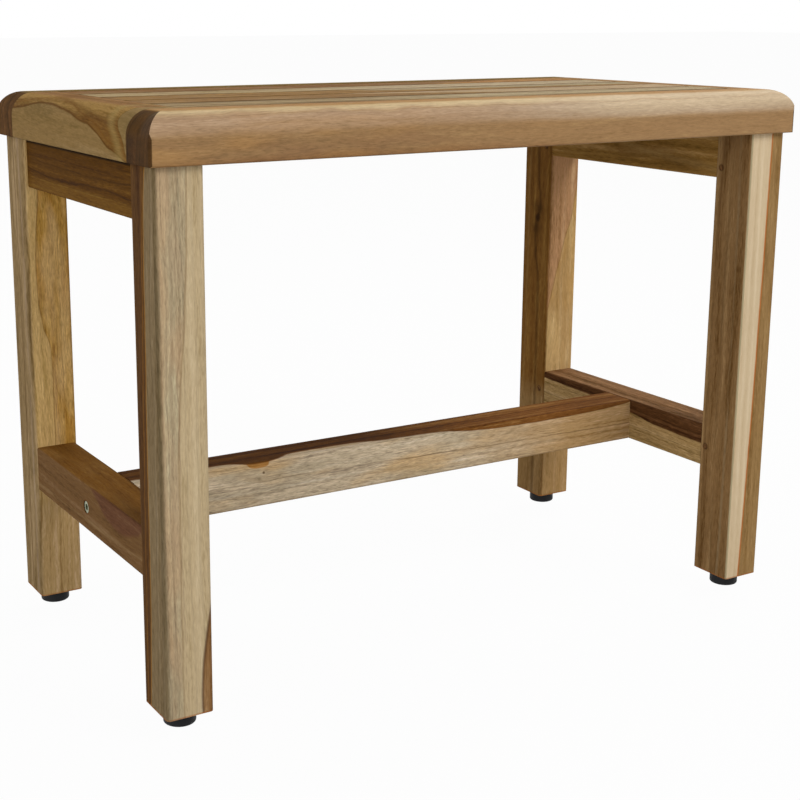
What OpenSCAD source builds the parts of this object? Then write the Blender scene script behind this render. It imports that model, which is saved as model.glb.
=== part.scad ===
// Teak shower bench: a framed slatted seat on two end frames that one long stretcher ties together.
// +X runs along the bench, +Y to its back, +Z up. The origin is on the floor under the middle of the seat.

/* [Seat] */
// Length of the seat, over the end rails
seat_l = 606; // [560:1:680]
// Depth of the seat, front to back
seat_w = 330; // [300:1:360]
// Height of the seat's top above the floor
seat_h = 457; // [420:1:500]
// Thickness of the seat frame
seat_t = 37; // [36:1:42]
// Width of each rail of the seat frame
rail_w = 40; // [38:1:46]
// Radius of the big roundover along the seat's top edges
roundover_r = 19; // [8:1:22]
// Thickness of a slat
slat_t = 20; // [18:1:20]
// Drain gap beside each slat
slat_gap = 4; // [2:0.5:6]

/* [Legs] */
// Size of a leg along the bench
leg_x = 38; // [36:1:44]
// Size of a leg front to back
leg_y = 42; // [40:1:48]
// How far the seat's ends stand past the legs
overhang_x = 5; // [3:0.5:7]
// How far the seat's long sides stand past the legs
overhang_y = 6; // [2:0.5:12]
// Radius of the eased upright edges of a leg
leg_edge_r = 3; // [1:0.5:5]

/* [Rails of the base] */
// Height of the aprons under the seat's ends
apron_h = 40.5; // [38:0.5:50]
// Thickness of the aprons
apron_t = 32; // [26:1:32]
// How far an apron's outer face is set in from the legs
apron_inset = 4; // [3:0.5:6]
// Shadow gap between an apron and the seat
apron_gap = 1; // [0.5:0.5:1.5]
// Height of the stretchers' top faces above the floor
stretcher_top = 150.5; // [120:0.5:200]
// Height of all three stretchers' section
stretcher_h = 39; // [36:1:44]
// Thickness of the two end stretchers
end_stretcher_t = 35; // [32:1:35]
// Thickness of the long stretcher
long_stretcher_t = 36; // [32:1:40]

/* [Feet] */
// Height of a foot pad below the leg, screwed right in
foot_h = 12; // [10:1:16]
// Diameter of a foot pad
foot_d = 25; // [20:1:30]
// How far a foot screws out
foot_travel = 10; // [5:1:14]

/* [Joinery] */
// Depth of the tenons in the legs
tenon_l = 25; // [20:1:28]
// Thickness of the apron tenons
apron_tenon_t = 10; // [8:1:10]
// Thickness of the stretcher tenons
stretcher_tenon_t = 12; // [8:1:14]
// Diameter of the pegs that pin the tenons
peg_d = 5; // [4:0.5:6]
// Distance of a peg from the leg's inner edge
peg_back = 7; // [6:0.5:9]
// Length of the tongues on the slats' ends
tongue_l = 10; // [6:1:12]

/* [Hidden] */
$fn = 48;

// Colours of the teak and the hardware
golden_tan = "#a3805a";
olive_tan = "#8b7850";
grey_beige = "#b8a37e";
golden_brown = "#9a7a48";
amber_brown = "#a5814f";
dark_brown = "#5b3c1e";
red_brown = "#805a3c";
pale_beige = "#b8a27a";
peg_brown = "#6b4a2a";
zinc = "#b4b7b0";
brass = "#b5933f";
black = "#191a1d";

// Small working values
eps = 1;            // how far a cutter reaches past the face it opens
ease_r = 1.5;       // easing on the lesser edges
corner_r = 2.5;     // easing on the seat's upright corners
fit = 0.05;         // glue room beside a tenon, tongue or dowel
end_room = 1;       // room past the end of a tenon, tongue or dowel
shoulder = 4;       // cut back above and below an apron's tenon
tip_room = 3;       // room past the end of a screw or stem

// Levels and faces of the seat
seat_under = seat_h - seat_t;
inner_x = seat_l / 2 - rail_w;       // inner faces of the seat's end rails
inner_y = seat_w / 2 - rail_w;       // inner faces of the seat's long rails
slat_count = 5;
slat_w = (2 * inner_y - (slat_count + 1) * slat_gap) / slat_count;
slat_pitch = slat_w + slat_gap;
slat_under = seat_h - slat_t;
tongue_t = 8;
tongue_shoulder = 2;                 // cut back at each side of a slat's tongue
tongue_z = seat_h - slat_t / 2;

// The batten under the middle of the slats, and its screws
batten_w = 30;
batten_lift = 1;                     // the batten's underside above the seat frame's
batten_under = seat_under + batten_lift;
batten_t = slat_under - batten_under;
batten_housing = 8;
screw_d = 4;
screw_head_d = 8;
screw_head_h = 2.4;
screw_bite = 12;                     // length of screw in a slat
screw_l = batten_t + screw_bite;
screw_cross = [4.4, 1.1, 1.6];       // length, width and depth of the cross recess's arms

// Dowels of the seat frame and of the long stretcher
dowel_d = 8;
seat_dowel_l = 38;
seat_dowel_z = seat_under + 12;
seat_dowel_x = [inner_x + 10, inner_x + 27];
stretcher_dowel_l = 30;
stretcher_dowel_off = 12;

// Places of the legs: the outer faces, the inner faces and the axes
leg_out_x = seat_l / 2 - overhang_x;
leg_out_y = seat_w / 2 - overhang_y;
leg_in_x = leg_out_x - leg_x;
leg_in_y = leg_out_y - leg_y;
leg_mid_x = leg_out_x - leg_x / 2;
leg_mid_y = leg_out_y - leg_y / 2;

// Aprons and stretchers
apron_top = seat_under - apron_gap;
apron_under = apron_top - apron_h;
apron_mid_x = leg_out_x - apron_inset - apron_t / 2;
apron_tenon_h = apron_h - 2 * shoulder;
apron_tenon_under = apron_under + shoulder;
stretcher_mid_z = stretcher_top - stretcher_h / 2;
stretcher_tenon_h = stretcher_h - 10;    // shoulders of 5 above and below
end_stretcher_out = leg_mid_x + end_stretcher_t / 2;
end_stretcher_in = leg_mid_x - end_stretcher_t / 2;

// Pegs: driven from the legs' inner faces, so their ends show there
peg_cover = 6;       // wood left between a peg and the leg's outer face
peg_l = leg_x - peg_cover;
peg_proud = 0.4;
apron_peg_z = apron_under + 9.5;
peg_y = leg_in_y + peg_back;

// M6 cap screws, washers and inserts that hold the seat
bolt_d = 6;
bolt_hole_d = 6.6;
bolt_head_d = 10;
bolt_head_h = 6;
hex_across_corners = 5.8;
hex_depth = 3;
washer_d = 12;
washer_t = 1.5;
washer_bore_d = 6.4;
seat_bolt_y = 70;
seat_bolt_l = 45;
seat_bore_d = 13;
seat_bore_depth = 10;
insert_d = 10;
insert_l = 14;
tapped_d = bolt_d + 0.1;

// M6 cap screws and barrel nuts of the long stretcher
long_bolt_l = 75;
head_sink = 0.5;
head_bore_d = 10.6;
barrel_d = 10;
barrel_l = 24;
barrel_back = 38;
barrel_slot = [6, 1.4, 1.2];

// Screw-in feet: M8 stem, brass insert, plastic pad
stem_d = 7.9;
stem_bore_d = 8;
thread_grip = 23;    // thread left in the insert with the foot screwed right out
stem_l = foot_travel + thread_grip;
stem_room_d = 9;
stem_head_d = 14;
stem_head_h = 2.5;
stem_head_z = 4;
pad_play = 0.3;
pad_edge_r = 1.5;
foot_insert_d = 12;
foot_insert_l = 24;
foot_flange_d = 17;
foot_flange_t = 1.5;

// ---------- shared shapes ----------

// Flat rectangle about the origin with round corners
module soft_rect(w, h, r) {
    square([w - 2 * r, h], center = true);
    square([w, h - 2 * r], center = true);
    for (sx = [-1, 1], sy = [-1, 1])
        translate([sx * (w / 2 - r), sy * (h / 2 - r)]) circle(r);
}

// Section of the whole seat, of width w: big roundovers at the top corners, small ones at the bottom
module seat_section(w) {
    translate([-w / 2 + ease_r, 0]) square([w - 2 * ease_r, seat_t - roundover_r]);
    translate([-w / 2, ease_r]) square([w, seat_t - roundover_r - ease_r]);
    translate([-w / 2 + roundover_r, 0]) square([w - 2 * roundover_r, seat_t]);
    for (side = [-1, 1]) {
        translate([side * (w / 2 - roundover_r), seat_t - roundover_r]) intersection() {
            circle(roundover_r, $fn = 96);
            translate([-roundover_r, 0]) square([2 * roundover_r, roundover_r]);
        }
        translate([side * (w / 2 - ease_r), ease_r]) circle(ease_r);
    }
}

// The seat's outer form: the roundovers of the long sides and of the ends meet in mitres at the corners
module seat_form() {
    intersection() {
        translate([0, 0, seat_under]) rotate([90, 0, 90])
            linear_extrude(seat_l, center = true) seat_section(seat_w);
        translate([0, 0, seat_under]) rotate([90, 0, 0])
            linear_extrude(seat_w, center = true) seat_section(seat_l);
        translate([0, 0, seat_under - eps])
            linear_extrude(seat_t + 2 * eps) soft_rect(seat_l, seat_w, corner_r);
    }
}

// Box given by its middle in x and y, its underside and its size
module block(x, y, z, size) {
    translate([x - size[0] / 2, y - size[1] / 2, z]) cube(size);
}

// Bar along X or Y with eased long edges, given by its middle and its size
module bar_x(mid, size) {
    translate(mid) rotate([90, 0, 90])
        linear_extrude(size[0], center = true) soft_rect(size[1], size[2], ease_r);
}
module bar_y(mid, size) {
    translate(mid) rotate([90, 0, 0])
        linear_extrude(size[1], center = true) soft_rect(size[0], size[2], ease_r);
}

// Round bar along +X, +Y or +Z from its first end
module rod_x(at, d, l) { translate(at) rotate([0, 90, 0]) cylinder(h = l, d = d); }
module rod_y(at, d, l) { translate(at) rotate([-90, 0, 0]) cylinder(h = l, d = d); }
module rod_z(at, d, l) { translate(at) cylinder(h = l, d = d); }

// Socket head cap screw: the head's outer face at the origin, the shank along +Z
module cap_screw(shank_l) {
    difference() {
        cylinder(h = bolt_head_h, d = bolt_head_d);
        translate([0, 0, -eps]) cylinder(h = hex_depth + eps, d = hex_across_corners, $fn = 6);
    }
    translate([0, 0, bolt_head_h]) cylinder(h = shank_l, d = bolt_d);
}

// ---------- seat ----------

// Holes for the frame's dowels at one end rail
module seat_dowel_holes(side_x) {
    for (side_y = [-1, 1], x = seat_dowel_x)
        rod_y([side_x * x, side_y * inner_y - seat_dowel_l / 2 - end_room, seat_dowel_z],
            dowel_d + 2 * fit, seat_dowel_l + 2 * end_room);
}

// Long rail of the seat frame: side -1 is the front, 1 the back
module seat_long_rail(side) {
    color(golden_tan) difference() {
        intersection() {
            seat_form();
            block(0, side * (inner_y + rail_w / 2), seat_under - eps, [seat_l, rail_w, seat_t + 2 * eps]);
        }
        for (side_x = [-1, 1]) seat_dowel_holes(side_x);
        block(0, side * (inner_y + batten_housing / 2), batten_under - fit,
            [batten_w + 2 * fit, batten_housing + end_room, batten_t + 2 * fit]);
    }
}

// End rail of the seat frame, between the long rails: side -1 is the left, 1 the right
module seat_end_rail(side) {
    groove_l = tongue_l + end_room;
    color(side < 0 ? olive_tan : golden_brown) difference() {
        intersection() {
            seat_form();
            block(side * (inner_x + rail_w / 2), 0, seat_under - eps,
                [rail_w, 2 * inner_y, seat_t + 2 * eps]);
        }
        seat_dowel_holes(side);
        block(side * (inner_x + groove_l / 2 - eps / 2), 0, tongue_z - tongue_t / 2 - fit,
            [groove_l + eps, 2 * inner_y - slat_gap, tongue_t + 2 * fit]);
        for (side_y = [-1, 1])
            rod_z([side * apron_mid_x, side_y * seat_bolt_y, seat_under - eps],
                insert_d + 2 * fit, insert_l + end_room + eps);
        // clearance above the insert for the tip of the screw
        for (side_y = [-1, 1])
            rod_z([side * apron_mid_x, side_y * seat_bolt_y, seat_under],
                bolt_hole_d, insert_l + tip_room);
    }
}

// Middle of slat n, front to back, counted from the front
function slat_y(n) = (n - (slat_count + 1) / 2) * slat_pitch;

// One slat: eased edges, a tongue at each end and a pilot hole over the batten
module seat_slat(n) {
    color(n % 2 == 1 ? grey_beige : amber_brown) difference() {
        union() {
            bar_x([0, slat_y(n), tongue_z], [2 * inner_x, slat_w, slat_t]);
            block(0, slat_y(n), tongue_z - tongue_t / 2,
                [2 * (inner_x + tongue_l), slat_w - 2 * tongue_shoulder, tongue_t]);
        }
        rod_z([0, slat_y(n), slat_under - eps], screw_d + fit, screw_l - batten_t + end_room + eps);
    }
}

module seat_batten() {
    color(red_brown) difference() {
        block(0, 0, batten_under, [batten_w, 2 * (inner_y + batten_housing), batten_t]);
        for (n = [1 : slat_count]) {
            rod_z([0, slat_y(n), seat_under], screw_d + 2 * fit, batten_t + 2 * eps);
            rod_z([0, slat_y(n), seat_under], screw_head_d + 2 * fit, batten_lift + fit);
            translate([0, slat_y(n), batten_under + fit])
                cylinder(h = screw_head_h, d1 = screw_head_d + 2 * fit, d2 = screw_d + 2 * fit);
        }
    }
}

module seat_dowels() {
    color(peg_brown)
        for (side_x = [-1, 1], side_y = [-1, 1], x = seat_dowel_x)
            rod_y([side_x * x, side_y * inner_y - seat_dowel_l / 2, seat_dowel_z], dowel_d, seat_dowel_l);
}

// Countersunk wood screws, driven up through the batten into each slat
module batten_screws() {
    color(zinc)
        for (n = [1 : slat_count])
            translate([0, slat_y(n), batten_under + fit]) difference() {
                union() {
                    cylinder(h = screw_head_h, d1 = screw_head_d, d2 = screw_d);
                    cylinder(h = screw_l, d = screw_d);
                }
                for (turn = [0, 90]) rotate([0, 0, turn])
                    block(0, 0, -eps, screw_cross + [0, 0, eps]);
            }
}

// ---------- legs ----------

// Slot for a tenon in a leg's inner side: mid_x and the tenon's size, with glue room
module mortise(mid_x, side_y, z, size) {
    block(mid_x, side_y * (leg_in_y + (tenon_l + end_room - eps) / 2), z - fit,
        [size[0] + 2 * fit, tenon_l + end_room + eps, size[1] + 2 * fit]);
}

// Hole or peg that runs from a leg's inner face out towards its outer face
module peg_run(side_x, side_y, z, d, l, proud) {
    start = leg_in_x - proud;
    rod_x([side_x < 0 ? -start - l : start, side_y * peg_y, z], d, l);
}

module leg(side_x, side_y, tint) {
    color(tint) difference() {
        translate([side_x * leg_mid_x, side_y * leg_mid_y, foot_h])
            linear_extrude(seat_under - foot_h) soft_rect(leg_x, leg_y, leg_edge_r);
        mortise(side_x * apron_mid_x, side_y, apron_tenon_under, [apron_tenon_t, apron_tenon_h]);
        mortise(side_x * leg_mid_x, side_y, stretcher_mid_z - stretcher_tenon_h / 2,
            [stretcher_tenon_t, stretcher_tenon_h]);
        for (z = [apron_peg_z, stretcher_mid_z])
            peg_run(side_x, side_y, z, peg_d + fit, peg_l + end_room + eps, eps);
        translate([side_x * leg_mid_x, side_y * leg_mid_y, foot_h - eps]) {
            cylinder(h = foot_flange_t + eps, d = foot_flange_d + 2 * fit);
            cylinder(h = foot_insert_l + eps, d = foot_insert_d + 2 * fit);
            cylinder(h = stem_l + tip_room + eps, d = stem_room_d);
        }
    }
}

// ---------- aprons and end stretchers ----------

module apron(side) {
    color(dark_brown) difference() {
        union() {
            bar_y([side * apron_mid_x, 0, apron_under + apron_h / 2], [apron_t, 2 * leg_in_y, apron_h]);
            block(side * apron_mid_x, 0, apron_tenon_under,
                [apron_tenon_t, 2 * (leg_in_y + tenon_l), apron_tenon_h]);
        }
        for (side_y = [-1, 1]) {
            bolt_at = [side * apron_mid_x, side_y * seat_bolt_y, apron_under - eps];
            rod_z(bolt_at, bolt_hole_d, apron_h + 2 * eps);
            rod_z(bolt_at, seat_bore_d, seat_bore_depth + eps);
            rod_x([side * apron_mid_x - apron_t / 2, side_y * peg_y, apron_peg_z], peg_d + fit, apron_t);
        }
    }
}

module end_stretcher(side) {
    color(side < 0 ? red_brown : golden_brown) difference() {
        union() {
            bar_y([side * leg_mid_x, 0, stretcher_mid_z], [end_stretcher_t, 2 * leg_in_y, stretcher_h]);
            block(side * leg_mid_x, 0, stretcher_mid_z - stretcher_tenon_h / 2,
                [stretcher_tenon_t, 2 * (leg_in_y + tenon_l), stretcher_tenon_h]);
        }
        for (side_y = [-1, 1])
            rod_x([side * leg_mid_x - stretcher_tenon_t, side_y * peg_y, stretcher_mid_z],
                peg_d + fit, 2 * stretcher_tenon_t);
        // the cap screw's bore and the sunk seat of its head
        rod_x([side * leg_mid_x - end_stretcher_t / 2 - eps, 0, stretcher_mid_z],
            bolt_hole_d, end_stretcher_t + 2 * eps);
        head_bore_l = head_sink + bolt_head_h;
        rod_x([side < 0 ? -end_stretcher_out - eps : end_stretcher_out - head_bore_l, 0, stretcher_mid_z],
            head_bore_d, head_bore_l + eps);
        stretcher_dowel_holes(side);
    }
}

module apron_pegs() {
    color(peg_brown)
        for (side_x = [-1, 1], side_y = [-1, 1])
            peg_run(side_x, side_y, apron_peg_z, peg_d, peg_l, peg_proud);
}

module stretcher_pegs() {
    color(peg_brown)
        for (side_x = [-1, 1], side_y = [-1, 1])
            peg_run(side_x, side_y, stretcher_mid_z, peg_d, peg_l, peg_proud);
}

// ---------- long stretcher ----------

module stretcher_dowel_holes(side) {
    for (dz = [-stretcher_dowel_off, stretcher_dowel_off])
        rod_x([side * end_stretcher_in - stretcher_dowel_l / 2 - end_room, 0, stretcher_mid_z + dz],
            dowel_d + 2 * fit, stretcher_dowel_l + 2 * end_room);
}

module long_stretcher() {
    bolt_tip = long_bolt_l + bolt_head_h + head_sink - end_stretcher_t;
    barrel_top = stretcher_mid_z + barrel_l / 2 + fit;
    color(pale_beige) difference() {
        bar_x([0, 0, stretcher_mid_z], [2 * end_stretcher_in, long_stretcher_t, stretcher_h]);
        for (side = [-1, 1]) {
            stretcher_dowel_holes(side);
            bore_x = side < 0 ? -end_stretcher_in - eps : end_stretcher_in - bolt_tip - end_room;
            rod_x([bore_x, 0, stretcher_mid_z], bolt_hole_d, bolt_tip + end_room + eps);
            rod_z([side * (end_stretcher_in - barrel_back), 0, stretcher_top - stretcher_h - eps],
                barrel_d + 2 * fit, barrel_top - stretcher_top + stretcher_h + eps);
        }
    }
}

module stretcher_dowels() {
    color(peg_brown)
        for (side = [-1, 1], dz = [-stretcher_dowel_off, stretcher_dowel_off])
            rod_x([side * end_stretcher_in - stretcher_dowel_l / 2, 0, stretcher_mid_z + dz],
                dowel_d, stretcher_dowel_l);
}

module stretcher_bolts() {
    color(zinc)
        for (side = [-1, 1])
            translate([side * (end_stretcher_out - head_sink), 0, stretcher_mid_z])
                rotate([0, -side * 90, 0]) cap_screw(long_bolt_l);
}

// Barrel nuts: cross-tapped pins put in from the long stretcher's underside
module barrel_nuts() {
    color(zinc)
        for (side = [-1, 1])
            translate([side * (end_stretcher_in - barrel_back), 0, stretcher_mid_z]) difference() {
                cylinder(h = barrel_l, d = barrel_d, center = true);
                rod_x([-barrel_d, 0, 0], tapped_d, 2 * barrel_d);
                block(0, 0, -barrel_l / 2 - eps, [barrel_slot[0], barrel_slot[1], barrel_slot[2] + eps]);
            }
}

// ---------- seat fixings ----------

module at_seat_bolts() {
    for (side_x = [-1, 1], side_y = [-1, 1])
        translate([side_x * apron_mid_x, side_y * seat_bolt_y, 0]) children();
}

module seat_bolts() {
    color(zinc) at_seat_bolts()
        translate([0, 0, apron_under + seat_bore_depth - washer_t - bolt_head_h]) cap_screw(seat_bolt_l);
}

module seat_bolt_washers() {
    color(zinc) at_seat_bolts()
        translate([0, 0, apron_under + seat_bore_depth - washer_t]) difference() {
            cylinder(h = washer_t, d = washer_d);
            translate([0, 0, -eps]) cylinder(h = washer_t + 2 * eps, d = washer_bore_d);
        }
}

module seat_inserts() {
    color(brass) at_seat_bolts()
        translate([0, 0, seat_under]) difference() {
            cylinder(h = insert_l, d = insert_d);
            translate([0, 0, -eps]) cylinder(h = insert_l + 2 * eps, d = tapped_d);
        }
}

// ---------- feet ----------

// Flanged brass inserts let into the legs' ends
module foot_inserts() {
    color(brass)
        for (side_x = [-1, 1], side_y = [-1, 1])
            translate([side_x * leg_mid_x, side_y * leg_mid_y, foot_h]) difference() {
                union() {
                    cylinder(h = foot_flange_t, d = foot_flange_d);
                    cylinder(h = foot_insert_l, d = foot_insert_d);
                }
                translate([0, 0, -eps]) cylinder(h = foot_insert_l + 2 * eps, d = stem_bore_d);
            }
}

// Stem of a foot: a round head inside the pad and a shank up into the insert
module foot_stem(side_x, side_y) {
    color(zinc) translate([side_x * leg_mid_x, side_y * leg_mid_y, stem_head_z]) {
        cylinder(h = stem_head_h, d = stem_head_d);
        cylinder(h = foot_h - stem_head_z + stem_l, d = stem_d);
    }
}

// Pad of a foot: a turned form with a hollow that holds the stem's head
module foot_pad(side_x, side_y) {
    top = foot_h - pad_play;
    r = foot_d / 2;
    color(black) translate([side_x * leg_mid_x, side_y * leg_mid_y, 0]) rotate_extrude() difference() {
        union() {
            square([r - pad_edge_r, top]);
            translate([0, pad_edge_r]) square([r, top - 2 * pad_edge_r]);
            for (z = [pad_edge_r, top - pad_edge_r]) translate([r - pad_edge_r, z]) circle(pad_edge_r);
        }
        translate([0, stem_head_z - pad_play])
            square([stem_head_d / 2 + pad_play, stem_head_h + 2 * pad_play]);
        translate([0, stem_head_z]) square([stem_bore_d / 2, foot_h]);
    }
}

seat_long_rail(-1);  // seat_rail_front
seat_long_rail(1);  // seat_rail_back
seat_end_rail(-1);  // seat_end_rail_left
seat_end_rail(1);  // seat_end_rail_right
seat_slat(1);  // seat_slat_1
seat_slat(2);  // seat_slat_2
seat_slat(3);  // seat_slat_3
seat_slat(4);  // seat_slat_4
seat_slat(5);  // seat_slat_5
seat_batten();
seat_dowels();
batten_screws();
leg(-1, -1, grey_beige);  // leg_front_left
leg(1, -1, golden_brown);  // leg_front_right
leg(-1, 1, amber_brown);  // leg_back_left
leg(1, 1, amber_brown);  // leg_back_right
apron(-1);  // apron_left
apron(1);  // apron_right
apron_pegs();
end_stretcher(-1);  // end_stretcher_left
end_stretcher(1);  // end_stretcher_right
stretcher_pegs();
long_stretcher();
stretcher_dowels();
stretcher_bolts();
barrel_nuts();
seat_bolts();
seat_bolt_washers();
seat_inserts();
foot_inserts();
foot_stem(-1, -1);  // foot_stem_front_left
foot_stem(1, -1);  // foot_stem_front_right
foot_stem(-1, 1);  // foot_stem_back_left
foot_stem(1, 1);  // foot_stem_back_right
foot_pad(-1, -1);  // foot_pad_front_left
foot_pad(1, -1);  // foot_pad_front_right
foot_pad(-1, 1);  // foot_pad_back_left
foot_pad(1, 1);  // foot_pad_back_right
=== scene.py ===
# Teak shower bench: its looks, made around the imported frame.
# Metres; +X runs along the bench to its right end, +Y to its back, +Z up. Wood patterns are in mm.
import math

import bmesh
import bpy
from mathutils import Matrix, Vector


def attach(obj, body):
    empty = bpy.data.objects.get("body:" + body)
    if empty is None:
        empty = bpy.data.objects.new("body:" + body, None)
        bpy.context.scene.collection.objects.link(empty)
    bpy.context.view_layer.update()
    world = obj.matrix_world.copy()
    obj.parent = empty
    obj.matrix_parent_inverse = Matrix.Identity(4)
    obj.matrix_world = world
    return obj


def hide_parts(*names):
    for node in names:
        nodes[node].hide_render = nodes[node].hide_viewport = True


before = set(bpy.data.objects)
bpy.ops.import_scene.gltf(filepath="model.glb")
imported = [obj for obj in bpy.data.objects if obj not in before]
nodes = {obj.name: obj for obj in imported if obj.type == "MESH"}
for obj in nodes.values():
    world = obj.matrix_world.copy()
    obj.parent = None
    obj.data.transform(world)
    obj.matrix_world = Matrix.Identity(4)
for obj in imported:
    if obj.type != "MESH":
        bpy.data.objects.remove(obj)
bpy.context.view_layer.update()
MM = 0.001
X, Y, Z = (1, 0, 0), (0, 1, 0), (0, 0, 1)
LEFT, FRONT, DOWN = (-1, 0, 0), (0, -1, 0), (0, 0, -1)


# ---------- shared helpers ----------

def linear(hex_colour):
    """An sRGB hex colour as linear red, green, blue and alpha."""
    parts = [int(hex_colour[k:k + 2], 16) / 255 for k in (1, 3, 5)]
    return [c / 12.92 if c <= 0.04045 else ((c + 0.055) / 1.055) ** 2.4 for c in parts] + [1.0]


def add(tree, kind, inputs=None, out=0, **settings):
    """Adds a node and gives one of its outputs. The inputs are values or other nodes' outputs, each under
    its socket's name, or under its number where several sockets share a name."""
    node = tree.nodes.new("ShaderNode" + kind)
    for name, value in settings.items():
        setattr(node, name, value)
    for key, value in (inputs or {}).items():
        if isinstance(value, bpy.types.NodeSocket):
            tree.links.new(value, node.inputs[key])
        else:
            node.inputs[key].default_value = value
    return node.outputs[out]


def calc(tree, operation, *values):
    """A number worked out from up to three others."""
    return add(tree, "Math", dict(enumerate(values)), operation=operation)


def vector_calc(tree, operation, *vectors, out="Vector"):
    """A vector worked out from up to three others, or a number such as their distance, with out="Value"."""
    return add(tree, "VectorMath", dict(enumerate(vectors)), out=out, operation=operation)


def between(tree, value, low, high, to_low=0.0, to_high=1.0, **settings):
    """A value taken from one range to another."""
    return add(tree, "MapRange", {"Value": value, "From Min": low, "From Max": high, "To Min": to_low,
                                  "To Max": to_high}, **settings)


def mix(tree, share, under, over):
    """A share of one number laid over another."""
    return add(tree, "Mix", {"Factor": share, "A": under, "B": over})


def blend(tree, share, under, over):
    """A share of one colour laid over another. A Mix node takes its colours at inputs 6 and 7."""
    return add(tree, "Mix", {"Factor": share, 6: under, 7: over}, out=2, data_type="RGBA")


def surface_point(tree):
    """Where a point of the surface lies, in mm."""
    return add(tree, "Mapping", {"Vector": add(tree, "TexCoord", out="Object"), "Scale": (1 / MM,) * 3})


def new_material(name):
    """An empty material and its node tree."""
    material = bpy.data.materials.new(name)
    material.use_nodes = True
    material.node_tree.nodes.clear()
    return material, material.node_tree


def finish_surface(tree, shader):
    """Gives a material's output node its shader."""
    output = tree.nodes.new("ShaderNodeOutputMaterial")
    tree.links.new(shader, output.inputs["Surface"])


# ---------- wood ----------
# A plank is a solid block of log: its rings are cylinders about a pith that lies outside it, so its faces,
# edges and end grain agree. A zone is the part of the block past its edges, such as sapwood. An edge or a
# line is straight, at one distance along its across direction, or a curve through (along, across) points.

# By the way the grain runs: how a plank is turned to lay it along X, and its direction
TURN_TO_X = {"x": (0, 0, 0), "y": (0, 0, -math.pi / 2), "z": (0, math.pi / 2, 0)}
GRAIN_WAY = {"x": X, "y": Y, "z": Z}


def edge(across, at, along=None, soft=0.6, wobble=0.5, rim=None):
    """One boundary of a zone. It fades over soft to each side and wanders by wobble, in mm. A rim is a line
    along it: its tone, its width and its strength."""
    return {"across": across, "at": at, "along": along, "soft": soft, "wobble": wobble, "rim": rim}


def zone(tones, *edges, amount=1.0, calm=0.0):
    """The wood past all of the edges. calm takes that share of its fine grain away."""
    return {"tones": tones, "edges": edges, "amount": amount, "calm": calm}


def line(across, at, tone, width, amount, along=None, wobble=0.8, broken=False):
    """A darker or paler line, strongest in its middle."""
    return {"across": across, "at": at, "along": along, "tone": tone, "width": width, "amount": amount,
            "wobble": wobble, "broken": broken}


def spot(centre, size, soft, tone, amount):
    """A round mark, such as a knot or the dark ring about a peg."""
    return {"centre": centre, "size": size, "soft": soft, "tone": tone, "amount": amount}


def past(tree, point_mm, border):
    """Distance in mm past an edge or a line."""
    across = vector_calc(tree, "DOT_PRODUCT", point_mm, border["across"], out="Value")
    if border["along"] is None:
        return calc(tree, "SUBTRACT", across, border["at"])
    along = vector_calc(tree, "DOT_PRODUCT", point_mm, border["along"], out="Value")
    points = border["at"]
    start, end = points[0][0], points[-1][0]
    low = min(value for at, value in points) - 1
    high = max(value for at, value in points) + 1
    drawn = add(tree, "FloatCurve", {"Value": between(tree, along, start, end)})
    curve = drawn.node.mapping.curves[0]
    places = [((at - start) / (end - start), (value - low) / (high - low)) for at, value in points]
    curve.points[0].location = places[0]
    curve.points[-1].location = places[-1]
    for place in places[1:-1]:
        curve.points.new(*place)
    drawn.node.mapping.update()
    return calc(tree, "SUBTRACT", across, between(tree, drawn, 0.0, 1.0, low, high))


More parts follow.
